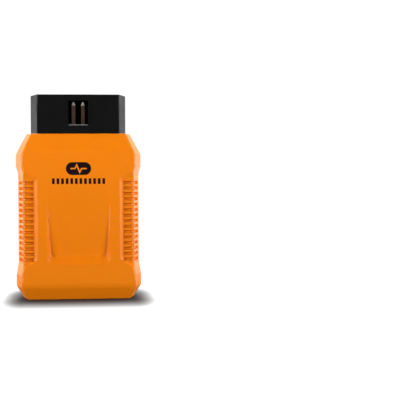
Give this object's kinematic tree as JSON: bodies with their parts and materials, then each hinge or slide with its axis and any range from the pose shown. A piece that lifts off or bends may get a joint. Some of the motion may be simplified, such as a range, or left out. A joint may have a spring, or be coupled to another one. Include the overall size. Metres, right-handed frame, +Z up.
{
  "type": "vehicle diagnostic code reader dongle",
  "caption": "Hand-sized diagnostic dongle: two-part orange housing with ribbed side grips and a thumb recess, a black vehicle plug on top, and circuit boards inside.",
  "frame": {"origin": "middle of the foot's underside, where the housing stands on a table", "axes": "+Z up from the foot to the plug's mouth, -Y out of the front face, +X to the right seen from the front"},
  "size_m": [0.0536, 0.025, 0.0871],
  "materials": {
    "housing_orange": "satin moulded, fine texture",
    "plug_black": "fine matt moulded",
    "pin_metal": "tin plated, bright tips",
    "print_ink": "flat ink",
    "label_film": "smooth printed film",
    "screw_steel": "zinc plated",
    "board_green": "solder mask",
    "chip_black": "moulded epoxy",
    "lead_tin": "bright tin",
    "shield_tin": "satin tin plate",
    "can_aluminium": "satin",
    "inductor_ferrite": "sintered",
    "antenna_copper": "bare copper",
    "fuse_polymer": "dull",
    "ceramic_tan": "dull ceramic"
  },
  "bodies": {
    "root": {"antenna_trace": "antenna_copper", "board_screws": "screw_steel", "can_transceiver": "chip_black", "can_transceiver_leads": "lead_tin", "capacitor_bases": "chip_black", "case_screws": "screw_steel", "chip_capacitors": "ceramic_tan", "chip_resistors": "chip_black", "connector_shell": "plug_black", "crystal": "shield_tin", "electrolytic_capacitors": "can_aluminium", "flash_memory": "chip_black", "flash_memory_leads": "lead_tin", "front_cover": "housing_orange", "front_emblem": "print_ink", "front_pins": "pin_metal", "header_pins": "pin_metal", "header_strip": "plug_black", "line_driver": "chip_black", "line_driver_leads": "lead_tin", "main_board": "board_green", "microcontroller": "chip_black", "microcontroller_leads": "lead_tin", "pin_retainer": "plug_black", "plug_board": "board_green", "power_inductor": "inductor_ferrite", "radio_board": "board_green", "radio_shield": "shield_tin", "rear_cover": "housing_orange", "rear_label": "label_film", "rear_pins": "pin_metal", "regulator_tab": "lead_tin", "resettable_fuse": "fuse_polymer", "surge_diode": "chip_black", "voltage_regulator": "chip_black"}
  },
  "joints": []
}
